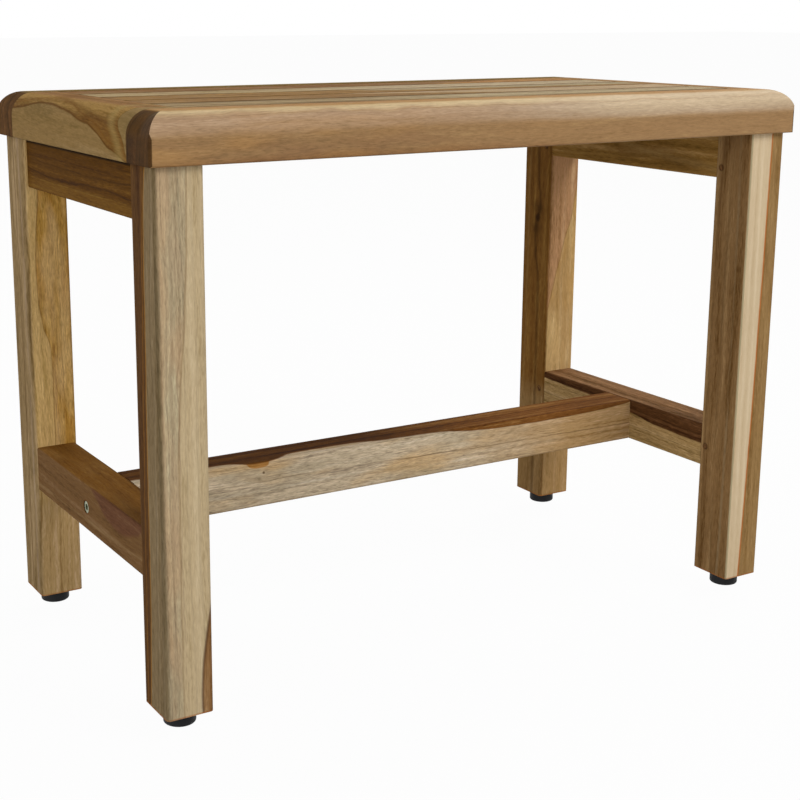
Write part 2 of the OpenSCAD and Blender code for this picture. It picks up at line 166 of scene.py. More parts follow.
class Plank:
    """One plank's material: where its surface lies in the log, and the noises that all its colours share."""

    def __init__(self, name, grain, pith, seed, tilt, ring, contrast, sway):
        self.material, self.tree = new_material(name)
        self.seed = seed
        tree = self.tree
        self.point_mm = surface_point(tree)
        turned = add(tree, "Mapping", {"Vector": self.point_mm, "Rotation": TURN_TO_X[grain]})
        centred = add(tree, "Mapping", {"Vector": turned, "Location": (0, -pith[0], -pith[1]),
                                        "Rotation": (0, math.radians(tilt[0]), math.radians(tilt[1]))})

        # the log isn't straight: it sways over some 150 mm of length, and its fibres wiggle over some 10 mm
        bend = self.noise(turned, (0.007, 0.018), 2.0, 0.5, 0, out="Color")
        bend = vector_calc(tree, "SUBTRACT", bend, (0.5,) * 3)
        wiggle = self.noise(turned, (0.07, 0.12), 1.0, 0.5, 11, out="Color")
        wiggle = vector_calc(tree, "SUBTRACT", wiggle, (0.5,) * 3)
        bent = vector_calc(tree, "MULTIPLY_ADD", bend, (0, 4 * sway, 4 * sway), centred)
        self.log_at = vector_calc(tree, "MULTIPLY_ADD", wiggle, (0, 0.55 * sway, 0.55 * sway), bent)
        from_pith = vector_calc(tree, "MULTIPLY", self.log_at, (0, 1, 1))
        radius = vector_calc(tree, "LENGTH", from_pith, out="Value")

        # growth rings of uneven width and the thin dark lines between them
        self.rings = self.ring_noise(calc(tree, "MULTIPLY", radius, 1 / ring), 4.0, 0.62)
        thin = self.ring_noise(calc(tree, "MULTIPLY_ADD", radius, 2.3 / ring, seed * 7), 2.0, 0.5)
        self.ring_lines = between(tree, thin, 0.58, 0.7)
        # smears of colour 5 mm wide, flecks 1 mm wide and 8 mm long, fibres of 0.5 mm, and pores cut open as
        # dark dashes 4 mm long
        self.smears = self.noise(self.log_at, (0.011, 0.19), 3.0, 0.6, 3)
        self.flecks = self.noise(self.log_at, (0.12, 0.9), 2.0, 0.6, 5)
        self.fibres = self.noise(self.log_at, (0.045, 1.9), 2.0, 0.7, 7)
        self.pores = between(tree, self.noise(self.log_at, (0.24, 2.2), 0.0, 0.5, 9), 0.6, 0.7)
        # three slow irregular waves for the borders
        waves = self.noise(turned, (0.028, 0.02), 3.0, 0.6, 13, out="Color")
        self.waves = add(tree, "SeparateXYZ", {"Vector": waves}).node.outputs

        tone_at = mix(tree, 0.45, self.rings, self.smears)
        tone_at = mix(tree, 0.22, tone_at, self.flecks)
        self.tone_at = between(tree, tone_at, 0.5 - 0.15 / contrast, 0.5 + 0.15 / contrast)

    def noise(self, at, per_mm, detail, roughness, shift, out=0):
        """Noise at a number of features per mm along and across the grain."""
        place = vector_calc(self.tree, "MULTIPLY_ADD", at, (per_mm[0], per_mm[1], per_mm[1]),
                            (self.seed * 17 + shift, shift, -self.seed * 5))
        return add(self.tree, "TexNoise", {"Vector": place, "Scale": 1.0, "Detail": detail,
                                           "Roughness": roughness}, out=out)

    def ring_noise(self, at, detail, roughness):
        """Noise that is the same all along a ring."""
        return add(self.tree, "TexNoise", {"W": at, "Scale": 1.0, "Detail": detail, "Roughness": roughness},
                   noise_dimensions="1D")

    def grain_tones(self, tones):
        """Tones laid out by the wood's rings, smears and flecks."""
        ramp_out = add(self.tree, "ValToRGB", {"Fac": self.tone_at})
        ramp = ramp_out.node.color_ramp
        ramp.interpolation = "EASE"
        ramp.elements[0].color = linear(tones[0])
        ramp.elements[1].color = linear(tones[-1])
        for number in range(1, len(tones) - 1):
            ramp.elements.new(number / (len(tones) - 1)).color = linear(tones[number])
        return ramp_out

    def wavy(self, border, number):
        """Distance past an edge or a line that wanders with one of the waves."""
        swell = border["wobble"]
        drift = between(self.tree, self.waves[number % 3], 0.2, 0.8, -swell, swell)
        return calc(self.tree, "ADD", past(self.tree, self.point_mm, border), drift)

    def line_on(self, distance, width, amount):
        """How strong a line is, from its middle out."""
        away = calc(self.tree, "ABSOLUTE", distance)
        return between(self.tree, away, 0.0, width, amount, 0.0, interpolation_type="SMOOTHSTEP")

    def lay_blooms(self, colour, blooms):
        """Soft patches of another tone, drawn out along the grain."""
        for number, (tone, amount) in enumerate(blooms):
            patch = self.noise(self.log_at, (0.012, 0.055), 2.0, 0.55, 21 + 6 * number)
            share = between(self.tree, patch, 0.48, 0.66, 0.0, amount)
            colour = blend(self.tree, share, colour, linear(tone))
        return colour

    def lay_zones(self, colour, zones):
        """The zones and their rims, and how lively the fine grain stays."""
        tree = self.tree
        liveliness = 1.0
        for number, area in enumerate(zones):
            share = area["amount"]
            rims = []
            for border in area["edges"]:
                distance = self.wavy(border, number)
                soft = border["soft"]
                inside = between(tree, distance, -soft, soft, interpolation_type="SMOOTHSTEP")
                share = calc(tree, "MULTIPLY", inside, share)
                if border["rim"]:
                    rims.append((distance, border["rim"]))
            colour = blend(tree, share, colour, self.grain_tones(area["tones"]))
            if area["calm"]:
                liveliness = mix(tree, share, liveliness, 1 - area["calm"])
            for distance, (tone, width, amount) in rims:
                colour = blend(tree, self.line_on(distance, width, amount), colour, linear(tone))
        return colour, liveliness

    def lay_lines(self, colour, lines):
        """Single lines, such as a grain line or a seam. A broken one comes and goes with the smears."""
        for number, mark in enumerate(lines):
            near = self.line_on(self.wavy(mark, number), mark["width"], mark["amount"])
            if mark["broken"]:
                gaps = between(self.tree, self.smears, 0.38, 0.58, 0.1, 1.0)
                near = calc(self.tree, "MULTIPLY", near, gaps)
            colour = blend(self.tree, near, colour, linear(mark["tone"]))
        return colour

    def lay_spots(self, colour, spots):
        """Round marks with an edge that the fibres fray."""
        tree = self.tree
        for mark in spots:
            away = vector_calc(tree, "DISTANCE", self.point_mm, mark["centre"], out="Value")
            away = calc(tree, "ADD", away, between(tree, self.fibres, 0.3, 0.7, -0.3, 0.3))
            size, soft = mark["size"], mark["soft"]
            near = between(tree, away, size - soft, size + soft, mark["amount"], 0.0,
                           interpolation_type="SMOOTHSTEP")
            colour = blend(tree, near, colour, linear(mark["tone"]))
        return colour

    def fine_shade(self, streak, liveliness):
        """How far ring lines, flecks, fibres and pores darken or lighten what lies under them."""
        tree = self.tree
        shade = between(tree, self.fibres, 0.3, 0.7, -0.2 * streak, 0.16 * streak, clamp=False)
        shade = calc(tree, "ADD", shade, between(tree, self.flecks, 0.3, 0.7, -0.36 * streak, 0.3 * streak))
        shade = calc(tree, "MULTIPLY_ADD", self.ring_lines, -0.45 * streak, shade)
        shade = calc(tree, "MULTIPLY_ADD", self.pores, -0.4 * streak, shade)
        return calc(tree, "MULTIPLY_ADD", shade, liveliness, 1.0)

    def end_grain(self, grain, end_tone, shade):
        """How far the surface cuts across the fibres, as a round edge does too, and the end grain's colour,
        dark with the finish that it drinks."""
        tree = self.tree
        facing = add(tree, "TexCoord", out="Normal")
        facing = vector_calc(tree, "DOT_PRODUCT", facing, GRAIN_WAY[grain], out="Value")
        share = between(tree, calc(tree, "ABSOLUTE", facing), 0.08, 0.35, 0.0, 0.88,
                        interpolation_type="SMOOTHSTEP")
        dapple = calc(tree, "MULTIPLY", between(tree, self.rings, 0.38, 0.62, 0.55, 1.5),
                      between(tree, self.smears, 0.35, 0.65, 0.75, 1.25))
        dapple = calc(tree, "MULTIPLY", dapple, shade)
        return share, add(tree, "VectorMath", {0: linear(end_tone)[:3], "Scale": dapple}, operation="SCALE")


def teak(name, grain, tones, pith, seed, tilt=(0.0, 0.0), ring=6.0, contrast=1.0, streak=0.5, sway=2.5,
         blooms=(), zones=(), lines=(), spots=(), end_tone="#4f3420", rough=0.78, gloss=0.06):
    """Planed and sanded teak. tones run from its darkest rings to its palest. pith is where the log's middle
    lies across the grain, in mm, and ring the mean ring width. blooms are pairs of a tone and a strength."""
    plank = Plank(name, grain, pith, seed, tilt, ring, contrast, sway)
    tree = plank.tree
    colour = plank.lay_blooms(plank.grain_tones(tones), blooms)
    colour, liveliness = plank.lay_zones(colour, zones)
    colour = plank.lay_lines(colour, lines)
    colour = plank.lay_spots(colour, spots)
    shade = plank.fine_shade(streak, liveliness)
    colour = add(tree, "VectorMath", {0: colour, "Scale": shade}, operation="SCALE")
    end_share, end_colour = plank.end_grain(grain, end_tone, shade)
    colour = blend(tree, end_share, colour, end_colour)

    # long grain is smoother where its fibres are pale, and end grain is dull
    roughness = between(tree, plank.fibres, 0.3, 0.7, rough + 0.08, rough - 0.06)
    roughness = mix(tree, end_share, roughness, 0.95)
    relief = calc(tree, "MULTIPLY_ADD", plank.pores, -0.8, plank.fibres)
    normal = add(tree, "Bump", {"Strength": 0.3, "Distance": 0.15 * MM, "Height": relief})
    shader = add(tree, "BsdfPrincipled", {"Base Color": colour, "Roughness": roughness, "Normal": normal,
                                          "IOR": 1.5, "Specular IOR Level": gloss,
                                          "Specular Tint": linear("#c9a878")})
    finish_surface(tree, shader)
    return plank.material


SEAT_BAY_X, SEAT_BAY_Y = 263, 125  # half the length and the width of the bay between the seat's rails
SEAM_INSET = 0.3  # from the faces that meet to the middle of the line between them


def seam(axis, face):
    """The fine dark line where a piece meets its neighbour's face."""
    return line(axis, face - SEAM_INSET, "#2e1c0e", width=0.7, amount=0.7, wobble=0.05)


# Each piece's tones, from its darkest rings to its palest. How far a row's tones lie apart was chosen one by
# one. Their level comes from a tuning program that compared renders with the photo, except in end_right,
# end_front, long_knot and batten, which it left alone.
TONES = {
    "rail": ("#785e40", "#90704c", "#9d7e58"),
    "rail_plain": ("#8e6e49", "#977651", "#a4855a"),
    "rail_round_sheen": ("#9c7f5e", "#ad9278", "#bba28b"),
    "rail_round_sheen_right": ("#947659", "#a28b72", "#ae9883"),
    "rail_gold": ("#af956b", "#c4ac82", "#d4bd96"),
    "rail_beige_sheen": ("#ac9577", "#c0aa8b", "#cdb797"),
    "rail_flat": ("#845f28", "#9b7034", "#aa8242"),
    "rail_back": ("#62491f", "#745c2a", "#816932"),
    "end_gold": ("#573810", "#745123", "#846030"),
    "end_gold_round_painted_light": ("#775824", "#95743f", "#a8894f"),
    "end_gold_top_painted_shade": ("#66461d", "#815c32", "#926d3f"),
    "end_olive": ("#745c33", "#856a40", "#8f754d"),
    "end_front": ("#755e36", "#856c42", "#947a4e"),
    "end_right": ("#7a5730", "#937046", "#a07e54"),
    "slat_1_left": ("#6e5932", "#8a744f", "#9e8963"),
    "slat_1_right": ("#84724d", "#9f8b67", "#b2a07c"),
    "slat_2_left": ("#694819", "#805c29", "#967239"),
    "slat_2_right": ("#866f4b", "#a48a66", "#b89e7b"),
    "slat_3_left": ("#6c4b1c", "#85612b", "#9b763d"),
    "slat_3_right": ("#776643", "#94825f", "#aa9a77"),
    "slat_4_left": ("#836d45", "#a18b62", "#b8a279"),
    "slat_4_right": ("#917d5b", "#ab9777", "#beac8d"),
    "slat_5_left": ("#593607", "#734a10", "#8a5e1c"),
    "slat_5_right": ("#714c21", "#9c6f36", "#bd9055"),
    "batten": ("#5d3f24", "#755234", "#86643f"),
    "apron_left": ("#3b2108", "#55360e", "#6c4a1c"),
    "apron_left_low": ("#4b2e0a", "#69481a", "#7d5d28"),
    "apron_right": ("#715222", "#936e37", "#af8954"),
    "fl_front": ("#8b795d", "#aa997a", "#b9ac8c"),
    "fl_plain": ("#9f8a65", "#b8a380", "#c3b08f"),
    "fl_dark_side": ("#392110", "#55391e", "#6e4e28"),
    "fl_grey_side": ("#635135", "#7d6a4d", "#8e7c61"),
    "fl_corner": ("#634327", "#87633e", "#9e7c55"),
    "fr_golden": ("#74552c", "#907147", "#a08156"),
    "fr_inner": ("#5d401e", "#81623e", "#9a7b53"),
    "fr_cream": ("#b9a17f", "#c5af8e", "#ceba9a"),
    "bl_front": ("#91652b", "#b28842", "#c9a15b"),
    "bl_edge": ("#ab8b52", "#c5a268", "#d4b37a"),
    "bl_low": ("#947549", "#b09162", "#c4a681"),
    "bl_side": ("#6a5433", "#8a724e", "#9f8663"),
    "br_front": ("#a78550", "#c8a56f", "#dabc89"),
    "br_heart": ("#916a42", "#ba8e65", "#cba67c"),
    "br_low_shade": ("#916f3d", "#ac895a", "#bc9a6f"),
    "br_side": ("#503110", "#734e22", "#906c36"),
    "br_side_low": ("#674a27", "#8a6b42", "#a08159"),
    "stretcher_left": ("#55340a", "#744d1c", "#896330"),
    "stretcher_left_side": ("#4c3215", "#6b4d2d", "#7e6041"),
    "stretcher_left_red": ("#452815", "#5f3e29", "#735239"),
    "stretcher_right": ("#6a4926", "#866241", "#9e7852"),
    "stretcher_right_dark": ("#381e0d", "#50321a", "#634228"),
    "stretcher_right_pale": ("#82673b", "#9e8053", "#ae9064"),
    "long_pale": ("#9f8d76", "#c2af93", "#d4c3aa"),
    "long_golden": ("#926f42", "#ae8c5f", "#c09e77"),
    "long_knot": ("#93652f", "#a97a44", "#bb8d58"),
    "long_dark_left": ("#341907", "#4d2d0f", "#623f19"),
    "long_dark_right": ("#512f14", "#754a22", "#8c6335"),
}

# Front rail: flat-sawn heartwood. Pinkish tan with short lengthwise smears, and paler on its roundover,
# partly its own colour and partly painted sheen. A golden edge of younger wood runs along the top of the
# roundover, beige toward the right end with more painted sheen, and the flat top behind it is amber brown
GOLD_EDGE = [(-303, 415), (-250, 415.5), (-60, 414.5), (60, 414), (303, 415)]
rail_teak = teak(
    "teak_rail_pink_tan", "x", TONES["rail"], pith=(-330, 410), seed=2.3, ring=9, contrast=0.95, streak=0.3,
    sway=2.2, blooms=[("#a97f4c", 0.4), ("#7d5a40", 0.35)], rough=0.6, gloss=0.12, end_tone="#2f1a08",
    zones=[
        zone(TONES["rail_plain"], edge(X, -60, soft=140, wobble=20), amount=0.9, calm=0.3),
        # the paler roundover is partly the board's colour and partly painted sheen for the light it catches
        zone(TONES["rail_round_sheen"], edge(Z, 441.5, soft=3.5, wobble=1), amount=0.5),
        zone(TONES["rail_round_sheen_right"],
             edge(Z, 441.5, soft=3.5, wobble=1),
             edge(X, 0, soft=80, wobble=15), amount=0.9),
        zone(TONES["rail_gold"],
             edge((0, 0.25, 1), GOLD_EDGE, along=X, soft=4.0, wobble=2.2),
             edge(FRONT, 128, soft=2)),
        # the beige is partly wood colour and partly painted sheen on the right end of the roundover
        zone(TONES["rail_beige_sheen"], edge(X, 60, soft=70), edge(Z, 444, soft=8), amount=0.85),
        zone(TONES["rail_flat"], edge(Y, -149.5, soft=4, wobble=1.5), edge(Z, 440, soft=4))],
    lines=[
        line((0, 0.25, 1), [(at, value - 1) for at, value in GOLD_EDGE], "#94683a", width=1.2, amount=0.35,
             along=X, wobble=2.4, broken=True),
        line(Z, [(-303, 416), (-200, 420), (-60, 420), (40, 418), (120, 414), (303, 413)], "#7b5230",
             width=7.0, amount=0.45, along=X, wobble=1.5),
        seam(FRONT, SEAT_BAY_Y)])
# Back rail: the same wood, with a plain brown top
back_rail_teak = teak(
    "teak_rail_back", "x", TONES["rail"], pith=(310, 400), seed=18.6, tilt=(0.3, 0.6), ring=8, contrast=1.0,
    streak=0.35, blooms=[("#a97f4c", 0.5)], end_tone="#4b3019",
    zones=[zone(TONES["rail_back"], edge(Z, 450, soft=5, wobble=2))],
    lines=[seam(Y, SEAT_BAY_Y)])

# Left end rail: golden heartwood over olive sapwood, with a wavy brown line between them and amber streaks
# beside it
END_LINE = [(-125, -420), (-102, -426), (-90, -428.6), (-77.5, -434), (-68, -438), (-51.5, -442.4),
            (-28, -445), (-3, -449), (20, -450.7), (47, -452), (75, -451), (100, -447.3), (125, -445)]
left_end_teak = teak(
    "teak_end_rail_golden", "y", TONES["end_gold"], pith=(215, 395), seed=4.1, tilt=(3, 2), ring=6,
    contrast=0.95, streak=0.26, end_tone="#4f331b",
    zones=[
        # painted light: the roundover is lighter, for the light it catches
        zone(TONES["end_gold_round_painted_light"], edge(Z, 449, soft=4, wobble=1)),
        # painted shade: the flat top behind the roundover is darker
        zone(TONES["end_gold_top_painted_shade"], edge(X, -287, soft=4, wobble=1.5)),
        zone(TONES["end_olive"], edge(DOWN, END_LINE, along=Y, wobble=0.9, rim=("#553508", 1.5, 0.9))),
        zone(TONES["end_front"],
             edge(FRONT,
                  [(420, 125.5), (428, 122.2), (437, 117.2), (444, 109), (450, 104), (453, 104.2),
                   (455, 106), (457, 109)], along=Z, wobble=0.4, rim=("#5c4822", 0.8, 0.7)), calm=0.5)],
    lines=[
        line(DOWN, [(at, value - 4.5) for at, value in END_LINE], "#6a4310", width=1.6, amount=0.5, along=Y,
             wobble=1.6),
        line(DOWN, [(-125, -431), (-102, -436), (-80, -443), (-60, -448), (0, -454), (125, -452)], "#5c3a0e",
             width=2.2, amount=0.4, along=Y, wobble=2.2),
        line(FRONT, [(420, 114), (437, 104), (447, 92), (457, 84)], "#9c8550", width=12.0, amount=0.45,
             along=Z, wobble=2.0),
        seam(Y, SEAT_BAY_Y),
        seam(FRONT, SEAT_BAY_Y),
        seam(X, -SEAT_BAY_X)])
# Right end rail: plain tan, for the photo shows little of it
right_end_teak = teak(
    "teak_end_rail_tan", "y", TONES["end_right"], pith=(-360, 350), seed=6.4, ring=7, contrast=0.9,
    streak=0.4, blooms=[("#a8884e", 0.4)], end_tone="#4f331b",
    lines=[seam(Y, SEAT_BAY_Y), seam(FRONT, SEAT_BAY_Y), seam(LEFT, -SEAT_BAY_X)])

# Slats: narrow rift-sawn boards from different planks. Each is brown heartwood toward its left end and pale
# sapwood toward its right, and painted shade darkens the eased edges for the shadow in the gaps between them
SAPWOOD_FROM = {
    1: edge(X, -70, soft=90, wobble=30),
    2: edge(Y, [(-262, -16), (-140, -20), (-50, -36), (40, -60), (120, -78), (262, -84)], along=X, soft=3,
            wobble=3),
    3: edge(Y, [(-262, 40), (-60, 26), (-20, 8), (30, -2), (140, -5), (262, -12)], along=X, soft=5,
            wobble=5),
    4: edge(X, -40, soft=110, wobble=30),
    5: edge(FRONT, [(-262, -68), (20, -70), (110, -88), (190, -112), (262, -126)], along=X, soft=3,
            wobble=3),
}
SLAT_GAP_SHADE = ("#3c2813", "#4f371d", "#63482a")
SLAT_PITCH = 49.2
GAP_SHADE_FROM_BACK, GAP_SHADE_FROM_FRONT = 21.6, 21.4  # from a slat's middle to its edges of painted gap shade
slat_teak = {}
for n in range(1, 6):
    middle = (n - 3) * SLAT_PITCH
    slat_teak[n] = teak(
        f"teak_slat_{n}", "x", TONES[f"slat_{n}_left"], pith=(-60 + 31 * n, 340 + 17 * n), seed=n * 1.7,
        tilt=(0.6, 0.4), ring=9, contrast=1.3, streak=0.5, rough=0.72, gloss=0.12, sway=3.5,
        blooms=[("#6b4c2a", 0.45), ("#a3885c", 0.3)],
        zones=[
            zone(TONES[f"slat_{n}_right"], SAPWOOD_FROM[n]),
            # painted shade along each slat's back and front edges, for the shadow in the gaps
            zone(SLAT_GAP_SHADE, edge(Y, middle + GAP_SHADE_FROM_BACK, soft=0.7, wobble=0.4)),
            zone(SLAT_GAP_SHADE, edge(FRONT, GAP_SHADE_FROM_FRONT - middle, soft=0.8, wobble=0.5))],
        lines=[seam(X, SEAT_BAY_X), seam(LEFT, SEAT_BAY_X)])
# Batten: plain brown
batten_teak = teak("teak_batten", "y", TONES["batten"], pith=(40, 360), seed=8.8)

# Dark rings about the ends of the pegs, on the inner faces of the left and the right legs
LEG_INNER_X, PEG_Y, PEG_HEIGHTS = 260, 124, (131, 388)
PEG_RINGS = {side: [spot((x, y, z), size=3.0, soft=0.9, tone="#33210f", amount=0.75)
                    for y in (-PEG_Y, PEG_Y) for z in PEG_HEIGHTS]
             for side, x in (("left", -LEG_INNER_X), ("right", LEG_INNER_X))}
# The eased lower edge of every leg, where the finish soaks into the end grain and turns it reddish
FOOT_EDGE = line(Z, 12.5, "#9c5c2a", width=1.3, amount=0.65, wobble=0.2)


def leg_teak(name, side, tones, lines=(), spots=(), **looks):
    """A leg's teak: any plank's, with its side's peg rings and the soaked lower edge."""
    return teak(name, "z", tones, lines=[FOOT_EDGE, *lines], spots=[*PEG_RINGS[side], *spots],
                end_tone="#7c4f24", **looks)


# Front left leg: grey beige face with broken grey streaks and a plain right third; its left side has a dark
# heart strip, a golden line and grey olive sapwood; a dark corner shows at the foot
leg_fl_teak = leg_teak(
    "teak_leg_grey_beige", "left", TONES["fl_front"], pith=(215, -300), seed=3.2, tilt=(0, 0.8), ring=6,
    contrast=0.95, streak=0.35, sway=2.2, blooms=[("#b4936f", 0.5), ("#a38a6e", 0.35)],
    zones=[
        zone(TONES["fl_plain"],
             edge(X, [(12, -284), (180, -284), (257, -282), (328, -276), (420, -273.5)], along=Z, soft=1.2,
                  wobble=0.8, rim=("#8c7453", 1.4, 0.6)), calm=0.5),
        zone(TONES["fl_grey_side"], edge(LEFT, 296.4, soft=1.0, wobble=0.1)),
        zone(TONES["fl_dark_side"],
             edge(Y,
                  [(12, -129), (106, -134), (179, -135), (239, -135.5), (298, -137.5), (355, -138),
                   (420, -144)], along=Z, wobble=0.8, rim=("#94672a", 1.3, 0.8)),
             edge(LEFT, 285, soft=4)),
        zone(TONES["fl_corner"],
             edge((1, -0.35, 0), [(12, -213.2), (35, -213.0), (60, -211.0), (85, -207.2), (110, -201.6)],
                  along=Z, soft=0.8, wobble=0.4, rim=("#4e3220", 2.0, 0.75)))],
    lines=[
        line(X, [(12, -290), (200, -289), (386, -287), (420, -288)], "#7e6850", width=2.2, amount=0.35,
             along=Z, wobble=1.4, broken=True),
        line(X, [(12, -281), (300, -283), (420, -281)], "#7a6046", width=1.0, amount=0.45, along=Z,
             wobble=2.0, broken=True),
        # painted shade along the rounded front-left arris, between the lit front and the shaded side
        line((0.7, 0.7, 0), [(12, -318.5), (420, -318.5)], "#5d5038", width=1.2, amount=0.45, along=Z,
             wobble=0.3),
        line(Y, [(12, -124), (200, -129), (420, -138)], "#7c5220", width=1.6, amount=0.6, along=Z,
             wobble=1.0)])

# Front right leg: brown heartwood with a cream sapwood strip down its front, split from it by an orange line
leg_fr_teak = leg_teak(
    "teak_leg_cream_stripe", "right", TONES["fr_golden"], pith=(-330, 260), seed=5.5, tilt=(0, 0.5), ring=7,
    contrast=0.95, streak=0.22, sway=1.6, blooms=[("#6d4e28", 0.5)],
    zones=[
        zone(TONES["fr_inner"], edge(LEFT, -263, soft=1.5)),
        zone(TONES["fr_cream"],
             edge(LEFT, [(12, -275.5), (227, -281.4), (420, -284)], along=Z, wobble=0.4,
                  rim=("#a8602a", 1.5, 0.95)),
             edge(FRONT, 157.9, soft=0.5, wobble=0.1), calm=0.85)],
    lines=[
        # painted shade along the rounded front-left arris, a greenish grey line
        line(X, 261.2, "#6f7052", width=1.1, amount=0.55, wobble=0.2),
        line(Y, [(12, -140), (200, -136), (420, -140)], "#4e3418", width=3.0, amount=0.5, along=Z,
             broken=True),
        line(Y, [(12, -147), (200, -149), (420, -146)], "#8c7a5c", width=2.6, amount=0.45, along=Z,
             broken=True),
        line(Y, [(12, -126), (200, -123), (420, -128)], "#55391c", width=3.0, amount=0.5, along=Z,
             broken=True)])

# Back left leg: golden with amber flecks right of a dark wandering line, pale left of it; grey brown side
leg_bl_teak = leg_teak(
    "teak_leg_amber", "left", TONES["bl_front"], pith=(60, -225), seed=7.3, tilt=(0, 0.7), ring=4.5,
    contrast=1.2, streak=0.5, sway=3.2, blooms=[("#b07a2c", 0.7), ("#d3b27e", 0.5)],
    zones=[
        zone(TONES["bl_edge"],
             edge(LEFT,
                  [(12, 281), (150, 280), (224, 279.5), (258, 286.5), (306, 290), (373, 286.5), (420, 285)],
                  along=Z, soft=0.9, wobble=0.8, rim=("#7d5a2e", 0.9, 0.6)), calm=0.3),
        zone(TONES["bl_low"], edge(DOWN, -104, soft=16, wobble=8), calm=0.6),
        zone(TONES["bl_side"], edge(LEFT, 296, soft=1.5))],
    lines=[
        line(Y, [(12, 140), (200, 138), (420, 142)], "#5a4020", width=1.3, amount=0.7, along=Z, wobble=1.2),
        line(Y, [(12, 126), (200, 125), (420, 130)], "#a08a74", width=4.0, amount=0.5, along=Z, broken=True),
        line(Y, [(12, 151), (420, 149)], "#5f4a2c", width=1.2, amount=0.6, along=Z, broken=True)])

# Back right leg: golden tan under a pinkish heart that rises to a point; dark brown side with a small knot
leg_br_teak = leg_teak(
    "teak_leg_cathedral", "right", TONES["br_front"], pith=(255, 250), seed=9.6, tilt=(0, 1.2), ring=8,
    contrast=0.9, streak=0.26, blooms=[("#b98c48", 0.5), ("#8c6238", 0.3)],
    spots=[
        spot((260, 134, 323), size=7.0, soft=6.0, tone="#36220d", amount=0.55),
        spot((260, 136, 302), size=7.0, soft=6.0, tone="#36220d", amount=0.5),
        spot((260, 135, 313), size=4.0, soft=2.5, tone="#2a1707", amount=0.85)],
    zones=[
        zone(TONES["br_heart"],
             edge(LEFT, [(12, -240), (180, -250), (218, -262), (290, -282), (318, -291), (420, -305)],
                  along=Z, soft=1.5, wobble=1.2, rim=("#7c5428", 1.3, 0.4))),
        # painted shade: the leg's front is darker low down, under the stretcher
        zone(TONES["br_low_shade"], edge(DOWN, -110, soft=20, wobble=8)),
        zone(TONES["br_side"], edge(LEFT, -262.5, soft=1.5)),
        zone(TONES["br_side_low"], edge(LEFT, -262.5, soft=1.5), edge(DOWN, -128, soft=14, wobble=10))],
    lines=[
        line(Y, [(12, 152), (420, 149)], "#86673e", width=3.0, amount=0.4, along=Z, broken=True),
        line((-0.3, 1, 0), [(12, 54), (250, 54), (290, 60), (313, 58), (330, 53), (345, 56), (420, 60)],
             "#2e1a08", width=4.0, amount=0.5, along=Z)])

# Aprons: quarter-sawn heartwood. The left one is dark with near-parallel darker lines, and the right one
# has a paler slanting streak. Each has a dark line of painted shadow along its top, under the seat's
# overhang
apron_l_teak = teak(
    "teak_apron_dark_left", "y", TONES["apron_left"], pith=(300, 130), seed=2.9, tilt=(0, 0.3), ring=5,
    contrast=0.8, streak=0.3, sway=1.1,
    zones=[
        zone(TONES["apron_left_low"],
             edge(DOWN, [(-117, -386), (0, -389), (117, -386)], along=Y, soft=3, wobble=1.5))],
    lines=[
        line(Z, [(-117, 391), (-40, 394), (30, 392), (117, 396)], "#2c1606", width=1.4, amount=0.6, along=Y,
             wobble=1.2),
        line(Z, [(-117, 403), (-20, 401), (117, 405)], "#2c1606", width=1.2, amount=0.5, along=Y, wobble=1.2,
             broken=True),
        # painted shadow just under the seat, where its overhang shades the apron's top
        line(Z, 417.4, "#150b03", width=2.0, amount=0.92, wobble=0.2)])
apron_r_teak = teak(
    "teak_apron_dark_right", "y", TONES["apron_right"], pith=(-330, 330), seed=11.2, tilt=(2, 3), ring=7,
    contrast=1.0, streak=0.3, blooms=[("#5f4018", 0.4)],
    lines=[
        line(Z, [(-117, 386), (-60, 391), (0, 400), (60, 410), (117, 418)], "#9a7a4a", width=6.0, amount=0.5,
             along=Y, wobble=2.0),
        # painted shadow just under the seat, where its overhang shades the apron's top
        line(Z, 418.2, "#1c1006", width=2.0, amount=0.8, wobble=0.2)])

# Left end stretcher: golden brown on top, grey brown outside, with a red brown patch at the
# front of its top edge
stretcher_l_teak = teak(
    "teak_stretcher_left", "y", TONES["stretcher_left"], pith=(350, 80), seed=12.7, tilt=(1, 1), ring=9,
    contrast=0.8, streak=0.3, blooms=[("#8a6636", 0.5), ("#54361a", 0.3)],
    spots=[spot((-296.5, 0, 131), size=6.2, soft=1.0, tone="#5f3510", amount=0.6)],
    zones=[
        zone(TONES["stretcher_left_side"], edge(LEFT, 295.6, soft=0.7, wobble=0.1), calm=0.2),
        zone(TONES["stretcher_left_red"],
             edge(LEFT, 295.2, soft=1.0, wobble=0.1),
             edge((0, 0.25, 1), [(-117, 116), (-85, 112), (-50, 120), (-25, 137), (0, 156), (117, 190)],
                  along=Y, soft=2.5, wobble=3.0))],
    lines=[
        line(Z, [(-117, 124), (0, 120), (117, 118)], "#8f7450", width=3.0, amount=0.5, along=Y,
             broken=True)])
# Right end stretcher: red brown, with a dark heart band over paler wood on its inner face
stretcher_r_teak = teak(
    "teak_stretcher_right", "y", TONES["stretcher_right"], pith=(-350, 300), seed=13.9, tilt=(1, 0.5),
    ring=5, contrast=1.1, streak=0.5,
    zones=[
        zone(TONES["stretcher_right_dark"], edge(LEFT, -263.2, soft=1.0, wobble=0.1)),
        zone(TONES["stretcher_right_pale"],
             edge(DOWN, [(-117, -132), (-54, -134), (-22, -138), (49, -142), (117, -144.5)], along=Y,
                  soft=0.8, wobble=0.8))])
